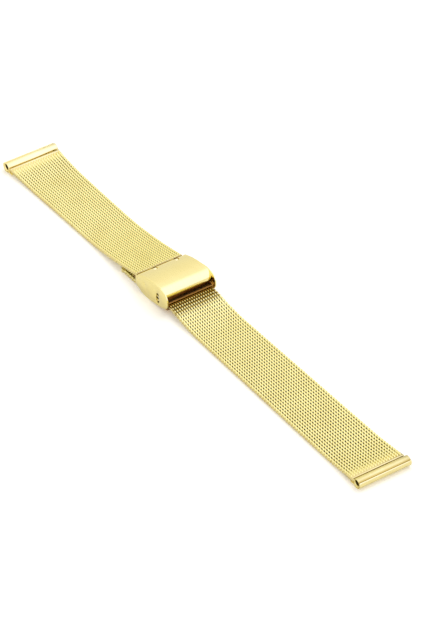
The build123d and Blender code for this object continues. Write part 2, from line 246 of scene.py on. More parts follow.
def prism(outline: list[Point2], y_from: float, y_to: float,
          edge: float) -> tuple[np.ndarray, list]:
    """Sweep a closed side outline across the band, with its end edges rounded off.

    Args:
        outline: (x, z) points in the row frame, in millimetres.
        y_from: where it starts across the band.
        y_to: where it ends.
        edge: size of the rounding at both ends.

    Returns:
        Vertices and faces of a closed mesh.
    """
    base = np.asarray(outline, float)
    # The rounding is drawn as two flats, which meet at this depth
    part = 0.3 * edge
    rings = []
    for y, inset in ((y_from, edge), (y_from + part, part), (y_from + edge, 0.0),
                     (y_to - edge, 0.0), (y_to - part, part), (y_to, edge)):
        flat = shrink(base, inset) if inset else base
        rings.append(np.stack([flat[:, 0], np.full(len(flat), y), flat[:, 1]], axis=1))
    count, total = len(base), len(rings) * len(base)
    faces = ring_faces(len(rings), count)
    faces += [tuple(range(count)), tuple(reversed(range(total - count, total)))]
    return np.concatenate(rings), faces


def closed_tube(rings: np.ndarray) -> tuple[np.ndarray, list]:
    """Join rings of points, as (ring, point, 3), into a tube with flat ends."""
    count, size, _ = rings.shape
    faces = ring_faces(count, size)
    faces += [tuple(reversed(range(size))), tuple(range((count - 1) * size, count * size))]
    return rings.reshape(-1, 3), faces


def join(parts: list[tuple[np.ndarray, list]]) -> tuple[np.ndarray, list]:
    """Put several lists of vertices and faces into one."""
    verts, faces, start = [], [], 0
    for points, polygons in parts:
        verts.append(np.asarray(points, float))
        faces.extend([tuple(start + i for i in face) for face in polygons])
        start += len(points)
    return np.concatenate(verts), faces


# ---------------------------------------------------------------------------
# Finishes
# ---------------------------------------------------------------------------
@dataclass(frozen=True)
class GoldFinish:
    """Pale yellow gold plating on brass or steel, as one of several surfaces.

    Plated gold has almost no texture of its own: it takes over the surface under it. So each
    finish is a metal of one gold colour, a roughness and fine marks of its own size. Where a
    mesh's shade attribute rises, it darkens to its two dark colours in turn: painted shade
    between wires, in creases and on rows against the clasp.
    """

    name: str
    light: str
    deep: str
    roughness: float
    roughness_spread: float
    mark_mm: tuple[float, float, float]
    bump_mm: float
    cloud_mm: float = 6.0
    recess_shade: str = ""
    shaded: str = ""
    edge_tint: str = WHITE

    def material(self) -> bpy.types.Material:
        """Return the node material of this finish."""
        material = bpy.data.materials.new(self.name)
        material.use_nodes = True
        tree = material.node_tree
        tree.nodes.clear()
        place = add_node(tree, "ShaderNodeTexCoord")
        # Size of the marks: one noise cell is about as large as mark_mm along each axis
        stretch = add_node(tree, "ShaderNodeMapping",
                           {"Scale": tuple(1 / (size * MM) for size in self.mark_mm)},
                           {"Vector": place.outputs["Object"]})
        marks = add_node(tree, "ShaderNodeTexNoise",
                         {"Scale": 1.0, "Detail": 3.0, "Roughness": 0.6},
                         {"Vector": stretch.outputs["Vector"]})
        clouds = add_node(tree, "ShaderNodeTexNoise",
                          {"Scale": 1 / (self.cloud_mm * MM), "Detail": 2.0},
                          {"Vector": place.outputs["Object"]})
        both = add_node(tree, "ShaderNodeMix", {"data_type": "FLOAT", 0: 0.5},
                        {2: marks.outputs["Fac"], 3: clouds.outputs["Fac"]})
        tone = add_node(tree, "ShaderNodeValToRGB", None, {"Fac": both.outputs[0]})
        ramp = ((0.32, self.deep), (0.62, self.light))
        for stop, (share, shade) in zip(tone.color_ramp.elements, ramp):
            stop.position = share
            stop.color = hex_linear(shade)
        colour = tone.outputs["Color"]
        if self.recess_shade:
            # Painted shade: between wires and in a crease the colour darkens, for the shade that
            # falls there
            depth = add_node(tree, "ShaderNodeAttribute", {"attribute_name": "painted_shade"})
            for deep, low, high in ((self.recess_shade, 0.0, 0.5), (self.shaded, 0.5, 1.0)):
                share = add_node(tree, "ShaderNodeMapRange", {"From Min": low, "From Max": high},
                                 {"Value": depth.outputs["Fac"]})
                mixed = add_node(tree, "ShaderNodeMix", {"data_type": "RGBA", 7: hex_linear(deep)},
                                 {0: share.outputs["Result"], 6: colour})
                colour = mixed.outputs[2]
        gloss = add_node(tree, "ShaderNodeMapRange",
                         {"To Min": self.roughness - self.roughness_spread,
                          "To Max": self.roughness + self.roughness_spread},
                         {"Value": marks.outputs["Fac"]})
        relief = add_node(tree, "ShaderNodeBump", {"Strength": 1.0, "Distance": self.bump_mm * MM},
                          {"Height": marks.outputs["Fac"]})
        # Gold keeps its colour in grazing reflections, most of all between facing wires
        shader = add_node(tree, "ShaderNodeBsdfPrincipled",
                          {"Metallic": 1.0, "Specular Tint": hex_linear(self.edge_tint)},
                          {"Base Color": colour, "Roughness": gloss.outputs["Result"],
                           "Normal": relief.outputs["Normal"]})
        add_node(tree, "ShaderNodeOutputMaterial", None, {"Surface": shader.outputs["BSDF"]})
        return material


# Drawn and woven wire, rolled flat and tumbled after plating: satin, bright on its flats.
# Its two dark colours are painted shade between the wires and on the rows against the clasp
WOVEN_WIRE = GoldFinish("woven_gold_wire", "#FAEE9E", "#F2E392", 0.24, 0.05,
                        (0.35, 0.35, 0.35), 0.003,
                        recess_shade="#8A6E10", shaded="#551C05", edge_tint="#F2E896")
# Brazed and ground side edge: a little warmer, since braze shows through thin plating.
# Its two dark colours are painted shade on the edges and at the seams
GROUND_EDGE = GoldFinish("ground_gold_edge", "#FAEAA2", "#F0DA94", 0.3, 0.05,
                         (0.5, 0.5, 0.3), 0.008, recess_shade="#8A7430", shaded="#43350F")
# Buffed sheet: mirror-like, only the faintest haze from the buffing wheel
BUFFED_SHEET = GoldFinish("buffed_gold_sheet", "#F8E79C", "#F5E296", 0.12, 0.02,
                          (3.0, 0.5, 3.0), 0.0002, 9.0)
# Turned tube: hairlines round the tube, drawn coarser than the real 0.02 mm to show.
# Its two dark colours are painted shade in the crease between the tube and the sheet's edge
LINISHED_TUBE = GoldFinish("linished_gold_tube", "#ECDC92", "#DAC87A", 0.32, 0.06,
                           (0.9, 0.12, 0.9), 0.004, recess_shade="#B29228", shaded="#6A5420")
# Buffed tube gold, smoother than the linished one and painted paler: a lighter copy that stands in
# for the stronger light on the far tube and a brighter mirrored table on both cradles. It mirrors
# the diffuser almost white
LIT_BUFFED_TUBE = GoldFinish("buffed_gold_tube_painted_light", "#FAEBA8", "#F2DE96", 0.2, 0.04,
                         (0.9, 0.12, 0.9), 0.002)
# Small parts inside the clasp: even satin, their dark red-brown colour painted shade for the shade
# inside the clasp
SHADED_CLASP_PLATE = GoldFinish("clasp_plate_painted_shade", "#BC904E", "#A87C3C", 0.38, 0.06,
                           (0.3, 0.3, 0.3), 0.003)
# Bore in the catch bar's head: painted dark brown for the shade inside the hole
SHADED_BORE = GoldFinish("bore_painted_shade", "#4A3616", "#382810", 0.5, 0.05,
                          (0.2, 0.2, 0.2), 0.004)
# Catch bar of bare steel; the gold tint in its colour is a painted reflection of the gold walls
# round it
STEEL_BAR = GoldFinish("turned_steel_bar", "#EFE2B4", "#E4D6A4", 0.2, 0.04, (0.2, 0.6, 0.2), 0.002)
# Turned pins: bright, with rings too fine to see
TURNED_PIN = GoldFinish("turned_gold_pin", "#FFF2B8", "#F6E29C", 0.18, 0.04, (0.2, 0.6, 0.2), 0.002)


class Palette:
    """Makes each finish's material once, and hands it out."""

    def __init__(self) -> None:
        """Start with no material made."""
        self.made: dict[str, bpy.types.Material] = {}

    def give(self, finish: GoldFinish) -> bpy.types.Material:
        """Return the material of a finish, made on first use."""
        if finish.name not in self.made:
            self.made[finish.name] = finish.material()
        return self.made[finish.name]

    def dress(self, obj: bpy.types.Object, *finishes: GoldFinish) -> None:
        """Give a new object one material for each of its slots."""
        for finish in finishes:
            obj.data.materials.append(self.give(finish))


def place_piece(obj: bpy.types.Object, body: str, slot: str, *nodes: str) -> None:
    """Let a piece ride on its body and stand for CAD nodes, whose objects it hides.

    Args:
        obj: the piece.
        body: the CAD body that it moves with.
        slot: the record's material slot; not used.
        nodes: CAD nodes that it stands for.
    """
    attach(obj, body)
    if nodes:
        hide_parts(*nodes)
    LOG.info("%s rides on %s", obj.name, body)


# ---------------------------------------------------------------------------
# Woven straps
# ---------------------------------------------------------------------------
class StrapLine:
    """Side line of a strap's middle plane, straight between knots with eased bends."""

    EASE_STEPS = 13
    POINTS = 4001
    SMOOTHED = 41

    def __init__(self, knots: list[tuple[float, float, float]]) -> None:
        """Ease each bend of the line.

        Args:
            knots: (x, z, reach of the easing) of each bend, with x rising.
        """
        xs, zs = [knots[0][0]], [knots[0][1]]
        for before, knot, after in zip(knots, knots[1:], knots[2:]):
            reach = knot[2]
            into = (knot[1] - before[1]) / (knot[0] - before[0])
            out = (after[1] - knot[1]) / (after[0] - knot[0])
            for share in np.linspace(0, 1, self.EASE_STEPS):
                x = knot[0] - reach + 2 * reach * share
                start = knot[1] - reach * into
                z = (1 - share) ** 2 * start + 2 * share * (1 - share) * knot[1] \
                    + share ** 2 * (knot[1] + reach * out)
                xs.append(x)
                zs.append(z)
        xs.append(knots[-1][0])
        zs.append(knots[-1][1])
        self.x = np.linspace(xs[0], xs[-1], self.POINTS)
        self.z = np.interp(self.x, xs, zs)
        steps = np.hypot(np.diff(self.x), np.diff(self.z))
        self.run = np.concatenate([[0], np.cumsum(steps)])
        slope = np.gradient(self.z, self.x)
        kernel = np.ones(self.SMOOTHED) / self.SMOOTHED
        padded = np.pad(slope, self.SMOOTHED // 2, mode="edge")
        self.slope = np.convolve(padded, kernel, mode="valid")

    @property
    def length(self) -> float:
        """Length along the line, in millimetres."""
        return float(self.run[-1])

    def at(self, run: np.ndarray) -> tuple[np.ndarray, np.ndarray, np.ndarray]:
        """Return x, z and the slope angle at distances along the line."""
        x = np.interp(run, self.run, self.x)
        return x, np.interp(run, self.run, self.z), np.arctan(np.interp(run, self.run, self.slope))


@dataclass
class WeaveSizes:
    """Sizes of the woven wire, in millimetres."""

    wire_radius: float = 0.2
    wire_half_width: float = 0.26
    loop_half_height: float = 0.58
    turns: float = 18.5
    loop_bluntness: float = 0.7
    loop_lean: float = 0.11
    loop_flatness: float = 0.5
    steps_per_turn: int = 12
    sides: int = 8
    rolled_half: float = 0.69
    interlock: float = 0.52
    # The recess and clasp sizes set the painted shade between wires and on the rows against the
    # clasp
    recess_top: float = 0.58
    recess_depth: float = 0.36
    recess_share: float = 0.5
    clasp_shade_reach: tuple[float, float] = (10.8, 13.4)
    clasp_shade_top: float = 0.685
    clasp_shade_depth: float = 0.08
    crest_power: int = 6
    edge_half_height: float = 0.56
    edge_half_depth: float = 0.16
    edge_inset: float = 0.03
    # A slight even painted shade on the brazed edges and end strips
    edge_shade_share: float = 0.06
    edge_ripple: float = 0.42
    edge_bluntness: float = 0.6
    edge_sides: int = 14
    edge_steps: int = 6
    edge_end: float = 0.8
    edge_gap: float = 0.03
    strip_length: float = 1.0
    seam_groove: float = 0.36
    solder_reach: float = 4.6
    solder_halves: tuple[float, ...] = (0.56, 0.64, 0.64, 0.60, 0.58, 0.50, 0.15)
    solder_step: float = 0.2
    solder_knee: float = 0.6
    solder_inset: float = 0.04
    solder_bevel: float = 0.06
    clamp_profile: tuple[Point2, ...] = ((0.08, 0.46), (0.12, 0.6), (1.0, 0.6), (1.3, 0.3))
    clamp_inset: float = 0.1
    tight_rows: int = 5
    tight_share: float = 0.72


@dataclass
class StrapSizes:
    """One strap: its width, bends, row pitch and which CAD node covers which run of X."""

    width: Callable[[float], float]
    knots: list[tuple[float, float, float]]
    pitch: float
    sections: list[tuple[str, str, float, float]]
    soldered_x: float
    bare_start: float = 0.0
    bare_end: float = 0.0
    clamped: bool = False
    seam_shade: float = 0.32


def short_width(x: float) -> float:
    """Width of the short strap at a place along the band."""
    at_clasp, gain, reach, bow = 16.2, 1.8, 79.2, 4
    return at_clasp + gain * ((CLASP_X - x) / reach) ** bow


def long_width(x: float) -> float:
    """Width of the long strap at a place along the band, parallel inside the clasp."""
    in_clasp, step, step_reach, gain, reach, bow = 15.8, 0.3, 2.5, 1.9, 95.6, 1.2
    exit_x = CLASP_X + 8.7
    if x <= exit_x:
        return in_clasp
    eased = min(1.0, (x - exit_x) / step_reach)
    return in_clasp + step * eased + gain * ((x - exit_x) / reach) ** bow


def lift(place: tuple[float, float, float], across: np.ndarray, up: np.ndarray) -> np.ndarray:
    """Return a ring of points round a strap's middle plane.

    Args:
        place: x, z and the slope angle of the middle plane there.
        across: place of each point across the band.
        up: height of each point above the middle plane.

    Returns:
        The points, as (point, 3).
    """
    x, z, theta = place
    return np.stack([x - up * math.sin(theta), across, z + up * math.cos(theta)], axis=1)


class WovenStrap:
    """A strap of interlinked, flattened wire coils, one coil across the band for each row."""

    SMOOTH_DEGREES = 60.0

    def __init__(self, sizes: StrapSizes, weave: WeaveSizes, palette: Palette) -> None:
        """Lay out the rows along the strap's line.

        Args:
            sizes: the strap's own sizes.
            weave: sizes of the woven wire.
            palette: the materials.
        """
        self.sizes = sizes
        self.weave = weave
        self.palette = palette
        self.line = StrapLine(sizes.knots)
        rows = round(self.line.length / sizes.pitch)
        shares = np.ones(rows)
        tight = np.linspace(weave.tight_share, 1.0, weave.tight_rows)
        if sizes.soldered_x > 0:
            shares[-weave.tight_rows:] = tight[::-1]
        else:
            shares[:weave.tight_rows] = tight
        steps = shares * (self.line.length - sizes.bare_start - sizes.bare_end) / shares.sum()
        self.pitch = float(np.median(steps))
        self.row_runs = sizes.bare_start + np.cumsum(steps) - steps / 2

    def wire_rings(self, spans: np.ndarray) -> tuple[np.ndarray, np.ndarray]:
        """Lay flattened wire round coils that cross the band, each about its own middle.

        Args:
            spans: length of each coil across the band.

        Returns:
            Points as (row, step, side, 3), and the sine of each step's turn round its coil.
        """
        w = self.weave
        steps = int(w.turns * w.steps_per_turn) + 1
        t = np.linspace(0, 2 * math.pi * w.turns, steps)
        half_length = (self.pitch + w.interlock) / 2
        cx, sx = np.cos(t), np.sin(t)
        along = half_length * np.sign(cx) * np.abs(cx) ** w.loop_bluntness
        above = w.loop_half_height * np.sign(sx) * np.abs(sx) ** w.loop_flatness
        across = -spans[:, None] / 2 + spans[:, None] * (t / t[-1])[None, :]
        # Pressing the coil flat leans its turns over, so the rows close up between their holes
        fade = np.minimum(1.0, np.minimum(t, t[-1] - t) / math.pi)
        across = across - w.loop_lean * (spans[:, None] / w.turns) * (cx * fade)[None, :]
        centre = np.stack([np.broadcast_to(along, across.shape), across,
                           np.broadcast_to(above, across.shape)], axis=-1)
        tangent = np.gradient(centre, axis=1)
        tangent /= np.linalg.norm(tangent, axis=-1, keepdims=True)
        out = np.stack([cx * w.loop_half_height, np.zeros_like(cx), sx * half_length], axis=-1)
        out /= np.linalg.norm(out, axis=-1, keepdims=True)
        out = np.broadcast_to(out, centre.shape)
        out = out - tangent * np.sum(out * tangent, axis=-1, keepdims=True)
        out /= np.linalg.norm(out, axis=-1, keepdims=True)
        beside = np.cross(tangent, out)
        angles = (np.arange(w.sides) + 0.5) * 2 * math.pi / w.sides
        ring = centre[:, :, None, :] + (
            w.wire_radius * np.cos(angles)[None, None, :, None] * out[:, :, None, :]
            + w.wire_half_width * np.sin(angles)[None, None, :, None] * beside[:, :, None, :])
        ring[..., 2] = np.clip(ring[..., 2], -w.rolled_half, w.rolled_half)
        return ring, sx

    def painted_wire_shade(self, x: np.ndarray, height: np.ndarray, turn: np.ndarray) -> np.ndarray:
        """Return how much painted shade each point of the wire gets, from 0 to 1.

        Shade is painted between the wires, and on the flanks of the rows that lie against the
        clasp, where the clasp shades them.

        Args:
            x: place of each row along the band.
            height: height of each point above the strap's middle plane, as (row, step, side).
            turn: the sine of each step's turn round its coil.

        Returns:
            The painted shade of each point, in the shape of the heights.
        """
        w = self.weave
        low, high = w.clasp_shade_reach
        clasp_shadow = np.clip((high - (x - CLASP_X)) / (high - low), 0, 1) * (x > CLASP_X)
        top = w.recess_top + (w.clasp_shade_top - w.recess_top) * clasp_shadow
        depth = w.recess_depth - (w.recess_depth - w.clasp_shade_depth) * clasp_shadow
        painted_shade = np.clip((top[:, None, None] - np.abs(height)) / depth[:, None, None], 0, 1)
        painted_shade *= (w.recess_share + (1 - w.recess_share) * clasp_shadow)[:, None, None]
        flank = 1 - np.abs(turn) ** w.crest_power
        return np.maximum(painted_shade, clasp_shadow[:, None, None] * flank[None, :, None])

    def coils(self, runs: np.ndarray) -> tuple[np.ndarray, list, np.ndarray]:
        """Build the wire coils of some rows.

        Args:
            runs: distance of each row along the strap.

        Returns:
            Vertices and faces, one closed tube of wire for each row, and each vertex's painted
            shade.
        """
        x, z, theta = self.line.at(runs)
        spans = np.array([self.sizes.width(v) for v in x]) - 2 * self.weave.wire_half_width
        ring, turn = self.wire_rings(spans)
        painted_shade = self.painted_wire_shade(x, ring[..., 2], turn)
        turned = np.empty_like(ring)
        cos_t = np.cos(theta)[:, None, None]
        sin_t = np.sin(theta)[:, None, None]
        turned[..., 0] = x[:, None, None] + ring[..., 0] * cos_t - ring[..., 2] * sin_t
        turned[..., 1] = ring[..., 1]
        turned[..., 2] = z[:, None, None] + ring[..., 0] * sin_t + ring[..., 2] * cos_t
        rows, steps, sides, _ = ring.shape
        wire = ring_faces(steps, sides)
        last = (steps - 1) * sides
        faces: list = []
        for row in range(rows):
            first = row * steps * sides
            faces.extend(tuple(first + i for i in face) for face in wire)
            faces.append(tuple(first + i for i in reversed(range(sides))))
            faces.append(tuple(first + last + i for i in range(sides)))
        return turned.reshape(-1, 3), faces, painted_shade.reshape(-1)

    def edge(self, side: Side, start: float, end: float) -> tuple[np.ndarray, list]:
        """Build the brazed side edge of a section, with a ripple for each row.

        Args:
            side: which side of the band.
            start: where it starts along the strap.
            end: where it ends.

        Returns:
            Vertices and faces of a closed bar.
        """
        w = self.weave
        stations = max(3, int((end - start) / self.pitch * w.edge_steps))
        runs = np.linspace(start, end, stations)
        x, z, theta = self.line.at(runs)
        ripple = 1 - w.edge_ripple * (0.5 - 0.5 * np.cos(2 * math.pi * runs / self.pitch))
        ripple[[0, -1]] *= w.edge_end
        angles = np.linspace(0, 2 * math.pi, w.edge_sides, endpoint=False)
        wide = np.sign(np.cos(angles)) * np.abs(np.cos(angles)) ** w.edge_bluntness
        tall = np.sign(np.sin(angles)) * np.abs(np.sin(angles)) ** w.edge_bluntness
        rings = []
        for i in range(stations):
            middle = self.sizes.width(x[i]) / 2 - w.edge_half_depth - w.edge_inset
            y = side.value * (middle + w.edge_half_depth * (wide * ripple[i] - (1 - ripple[i])))
            up = w.edge_half_height * tall * ripple[i]
            rings.append(lift((x[i], z[i], theta[i]), y, up))
        return closed_tube(np.array(rings))

    def solder(self, seam: float, direction: float) -> tuple[np.ndarray, list]:
        """Build the pressed and soldered strip at a lug end, thinning out under the last rows.

        Args:
            seam: distance of the seam along the strap.
            direction: 1 where the strap ends there, and -1 where it starts.

        Returns:
            Vertices and faces of a closed wedge.
        """
        w = self.weave
        bevel = w.solder_bevel
        backs = (w.seam_groove, w.seam_groove + bevel, w.strip_length - bevel, w.strip_length,
                 w.strip_length + w.solder_step, w.solder_knee * w.solder_reach, w.solder_reach)
        runs = np.array([seam - direction * back for back in backs])
        x, z, theta = self.line.at(runs)
        rings = []
        for i, half in enumerate(w.solder_halves):
            edge = self.sizes.width(x[i]) / 2 - w.solder_inset
            inner, low = edge - bevel, half - bevel
            section = np.array([(-edge, -low), (-inner, -half), (inner, -half), (edge, -low),
                                (edge, low), (inner, half), (-inner, half), (-edge, low)])
            rings.append(lift((x[i], z[i], theta[i]), section[:, 0], section[:, 1]))
        return closed_tube(np.array(rings))

    def clamp(self, end: float) -> tuple[np.ndarray, list]:
        """Build the brazed strip that the clip grips, between the loops of the last row."""
        rings = []
        for back, half in self.weave.clamp_profile:
            x, z, theta = (float(v) for v in self.line.at(np.array(end - back)))
            edge = self.sizes.width(x) / 2 - self.weave.clamp_inset
            rings.append(lift((x, z, theta), np.array([-edge, edge, edge, -edge]),
                              np.array([-half, -half, half, half])))
        return closed_tube(np.array(rings))

    def build(self) -> None:
        """Build each section of the strap as one piece that stands for its CAD node."""
        row_x, _, _ = self.line.at(self.row_runs)
        for node, body, low, high in self.sizes.sections:
            runs = self.row_runs[(row_x >= low) & (row_x < high)]
            start = float(np.interp(low, self.line.x, self.line.run))
            end = float(np.interp(high, self.line.x, self.line.run))
            points, wires, depth = self.coils(runs)
            gap = self.weave.edge_gap
            bars = [self.edge(side, start + gap, end - gap) for side in Side]
            if self.sizes.soldered_x == high:
                bars.append(self.solder(end, 1.0))
            elif self.sizes.soldered_x == low:
                bars.append(self.solder(start, -1.0))
            elif self.sizes.clamped and high == self.sizes.sections[-1][3]:
                bars.append(self.clamp(end))
            verts, faces = join([(points, wires), *bars])
            slots = [0] * len(wires) + [1] * (len(faces) - len(wires))
            # The edges and end strips all get a slight even painted shade
            edge_shade = np.full(len(verts) - len(points), self.weave.edge_shade_share)
            painted_shade = np.concatenate([depth, edge_shade])
            # Painted shade on the end face of the strip at a seam, for the shadow in the gap there
            if len(bars) > len(Side):
                painted_shade[-len(bars[-1][0]):][:8] = self.sizes.seam_shade
            piece = mesh_object(f"woven_{node}", verts, faces, self.SMOOTH_DEGREES, slots,
                                painted_shade)
            self.palette.dress(piece, WOVEN_WIRE, GROUND_EDGE)
            place_piece(piece, body, "mesh", node)


# ---------------------------------------------------------------------------
# Lug ends
# ---------------------------------------------------------------------------
@dataclass
class LugEndSizes:
    """A lug end: the tube for the spring bar and the sheet brazed round it."""

    steps: int = 72
    bend_steps: int = 48
    centre_z: float = 1.72
    half_width: float = 9.0
    tube_radius: float = 1.4
    bore_radius: float = 0.95
    bore_depth: float = 0.5
    rim: float = 0.06
    seam_gap: float = 0.02
    gap: float = 0.14
    sheet: float = 0.18
    front_angle: float = 24.0
    heel_angle: float = 4.0
    sheet_edge: float = 0.05
    flange_reach: float = 1.6
    flange_round: float = 0.04
    mesh_half: float = 0.7
    countersink: float = 0.28
    # The crease sizes set the painted shade between the tube and the sheet's edge
    crease_angle: float = 31.0
    crease_spread: float = 34.0
    crease_shade: float = 0.5
    tube_smooth: float = 50.0
    sheet_smooth: float = 45.0


class LugEnd:
    """Tube and cradle at one end of the band."""

    def __init__(self, name: str, centre_x: float, facing: float, mesh_end: Point2, body: str,
                 finish: GoldFinish, sizes: LugEndSizes, palette: Palette) -> None:
        """Keep where the end is.

        Args:
            name: short or long.
            centre_x: place of the tube's middle along the band.
            facing: 1 where the band ends towards +X, and -1 towards -X.
            mesh_end: (x, z) of the mesh's middle plane at the seam.
            body: the body that carries the end.
            finish: the finish of its tube.
            sizes: the end's own sizes.
            palette: the materials.
        """
        self.name = name
        self.centre_x = centre_x
        self.facing = facing
        self.mesh_end = mesh_end
        self.body = body
        self.finish = finish
        self.palette = palette
        self.sizes = sizes

    def tube(self) -> None:
        """Build the tube, open at both ends, with its rims rounded."""
        s = self.sizes
        outer = np.array(arc((0, 0), 1.0, 0, 360, s.steps + 1)[:-1])
        half = [(s.half_width - s.bore_depth, s.bore_radius),
                (s.half_width - s.countersink, s.bore_radius),
                (s.half_width, s.bore_radius + s.countersink),
                (s.half_width, s.tube_radius - s.rim), (s.half_width - s.rim, s.tube_radius)]
        stations = [(-y, radius) for y, radius in half] + half[::-1]
        rings = []
        for y, radius in stations:
            rings.append(np.stack([self.centre_x + outer[:, 0] * radius, np.full(s.steps, y),
                                   s.centre_z + outer[:, 1] * radius], axis=1))
        faces = ring_faces(len(rings), s.steps, closed=True)
        # Painted shade in the crease between the tube and the sheet's edge, where shade falls
        turns = np.degrees(np.arctan2(outer[:, 1], self.facing * outer[:, 0]))
        crease = np.clip(1 - np.abs(turns - s.crease_angle) / s.crease_spread, 0, 1)
        piece = mesh_object(f"{self.name}_lug_round_tube", np.concatenate(rings), faces,
                            s.tube_smooth, painted_shade=np.tile(s.crease_shade * crease, len(rings)))
        self.palette.dress(piece, self.finish)
        place_piece(piece, self.body, "polished", f"{self.name}_lug_tube")

    def cradle(self) -> None:
        """Build the bent sheet: its flange under the mesh, and its wrap round the tube's front."""
        s = self.sizes
        inner = s.tube_radius + s.gap
        outer = inner + s.sheet
        end_x, end_z = self.mesh_end
        slope = math.atan2(s.centre_z - end_z, self.facing * (self.centre_x - end_x))
        seat = -s.mesh_half - s.gap
        rise = math.cos(slope), math.sin(slope)

        def world(local: Point2) -> Point2:
            """Turn a place along and above the mesh end into the row frame."""
            along, above = local
            return (end_x + self.facing * (along * rise[0] - above * rise[1]),
                    end_z + along * rise[1] + above * rise[0])

        centre = (s.seam_gap + s.tube_radius, 0.0)
        hit = math.degrees(math.asin(min(1.0, -seat / inner)))
        path = arc(centre, outer, s.front_angle, -180 + hit + s.heel_angle, s.bend_steps)
        under = [(-s.flange_reach, seat - s.sheet),
                 (-s.flange_reach - s.flange_round, seat - s.sheet / 2), (-s.flange_reach, seat)]
        back = arc(centre, inner, -180 + hit, s.front_angle, s.bend_steps)
        front = math.radians(s.front_angle)
        middle = inner + s.sheet / 2
        tip = arc((centre[0] + middle * math.cos(front), middle * math.sin(front)), s.sheet / 2,
                  s.front_angle + 152, s.front_angle + 32, 5)
        outline = [world(p) for p in path + under + back + tip]
        sheet = prism(outline, -s.half_width, s.half_width, s.sheet_edge)
        piece = mesh_object(f"{self.name}_lug_bent_cradle", *sheet, s.sheet_smooth)
        # Both cradles take the paler tube gold, a painted lighter tone that brightens the lip
        self.palette.dress(piece, LIT_BUFFED_TUBE)
        place_piece(piece, self.body, "polished", f"{self.name}_lug_cradle")

    def build(self) -> None:
        """Build both pieces of the end."""
        self.tube()
        self.cradle()


# ---------------------------------------------------------------------------
# Clasp
# ---------------------------------------------------------------------------
@dataclass
class CoverSizes:
    """The clasp cover, one bent sheet, in millimetres from the middle of the clasp."""

    half_width: float = 8.65
    sheet: float = 0.3
    shoulder: float = 0.42
    sharp_shoulder: float = 0.04
    shoulder_end: float = 1.0
    rear: Point2 = (-6.6, 5.513)
    crest: Point2 = (4.608, 7.694)
    front_radius: float = 2.6
    front_angle: float = 88.0
    taper_angle: float = 55.0
    hem_radius: float = 0.28
    hem_turn: float = 235.0
    front_steps: int = 21
    hem_half_width: float = 7.5
    nose_half_width: float = 8.38
    broken_edge: float = 0.03
    eye_places: tuple[float, float] = EYE_PLACES
    notch_half: float = 0.73
    notch_x: float = -5.0
    notch_slack: float = 0.001
    least_run: float = 0.12
    flat_places: tuple[float, float, int] = (-7.0, 7.0, 15)
    shoulder_steps: int = 7
    smooth_degrees: float = 38.0
    bevel_degrees: float = 50.0
    window: tuple[float, float, float, float] = (3.85, 3.45, 3.4, 1.5)
    pin_hole: tuple[float, float, float] = (-6.1, 4.5, 0.46)
    dimple: tuple[float, float, float, float] = (-3.1, 4.36, 0.5, 0.24)
    dimple_shares: tuple[float, ...] = (0.8, 0.55, 0.25)
    ear: tuple[Point2, Point2, Point2] = ((7.697, 7.1), (9.0, 4.497), (8.2485, 2.164))
    lower_outline: tuple[Point2, ...] = (
        (8.2485, 2.164), (5.49, 1.0), (-1.4, 0.0), (-4.59, 0.35), (-5.8, 1.0), (-7.4, 1.4),
        (-7.68, 2.3), (-7.7, 2.9), (-7.66, 3.8), (-7.5, 4.71))


